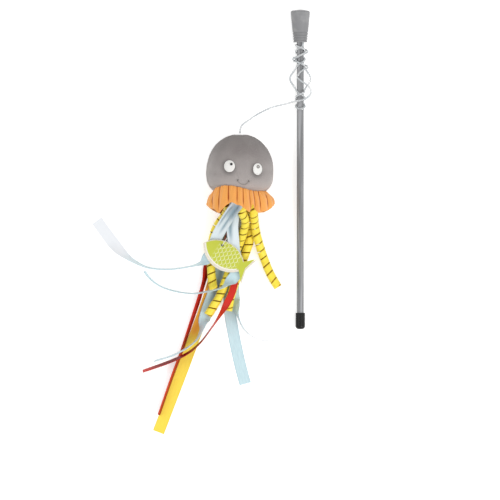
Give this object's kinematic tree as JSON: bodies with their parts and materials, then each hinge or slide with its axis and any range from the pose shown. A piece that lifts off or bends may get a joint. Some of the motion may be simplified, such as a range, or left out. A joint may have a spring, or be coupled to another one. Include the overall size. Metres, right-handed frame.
{
  "type": "cat teaser wand",
  "caption": "Cat teaser wand: a rod with a grip knob, an elastic cord wound on it, and a grey plush octopus lure with ribbons and a fish tag.",
  "frame": {"origin": "centre of the bounding box of everything but the cord, on the table it lies on", "axes": "+Y up the rod towards the grip knob, +Z away from the table, +X to the wand's side of the lure"},
  "size_m": [0.1895, 0.3651, 0.064],
  "materials": {
    "rod": "satin fibreglass",
    "grip": "soft matte",
    "cap": "glossy vinyl",
    "cord": "clear elastic",
    "plush": "short pile",
    "filling": "polyester fibre",
    "pouch": "woven pouch",
    "eye_thread": "embroidery thread",
    "face_thread": "embroidery thread",
    "ruffle": "pleated plush",
    "blue_satin": "satin",
    "red_satin": "satin",
    "yellow_ribbon": "satin",
    "card": "card",
    "print": "printed card"
  },
  "bodies": {
    "wand": {"wand_rod": "rod", "grip_knob": "grip", "end_cap": "cap", "cord_winding": "cord", "cord_run": "cord"},
    "knot": {"cord_knot": "cord"},
    "lure": {"head_front": "plush", "head_back": "plush", "stuffing": "filling", "catnip_pouch": "pouch", "left_eye": "eye_thread", "right_eye": "eye_thread", "left_pupil": "face_thread", "right_pupil": "face_thread", "smile_stitch": "face_thread", "ruffle": "ruffle", "ribbon_seat": "plush", "blue_ribbon_1": "blue_satin", "blue_ribbon_2": "blue_satin", "blue_ribbon_3": "blue_satin", "blue_ribbon_4": "blue_satin", "blue_ribbon_5": "blue_satin", "red_ribbon_1": "red_satin", "red_ribbon_2": "red_satin", "yellow_ribbon": "yellow_ribbon", "curled_ribbon_1": "yellow_ribbon", "curled_ribbon_2": "yellow_ribbon", "curled_ribbon_3": "yellow_ribbon", "curled_ribbon_4": "yellow_ribbon", "tag_loop": "eye_thread"},
    "tag": {"fish_tag": "card", "tag_face": "print"}
  },
  "joints": [
    {"name": "lure_swing", "type": "hinge", "parent": "wand", "child": "knot", "pos_m": [0.0338, 0.0734, 0.02765], "axis": [0, 0, 1], "range_deg": [-35, 0]},
    {"name": "lure_lift", "type": "hinge", "parent": "knot", "child": "lure", "pos_m": [0.0338, 0.0734, 0.02765], "axis": [-1, 0, 0], "range_deg": [0, 15]},
    {"name": "tag_swing", "type": "hinge", "parent": "lure", "child": "tag", "pos_m": [0.01866, -0.01981, 0.0134], "axis": [0, 0, 1], "range_deg": [-6, 14]}
  ]
}
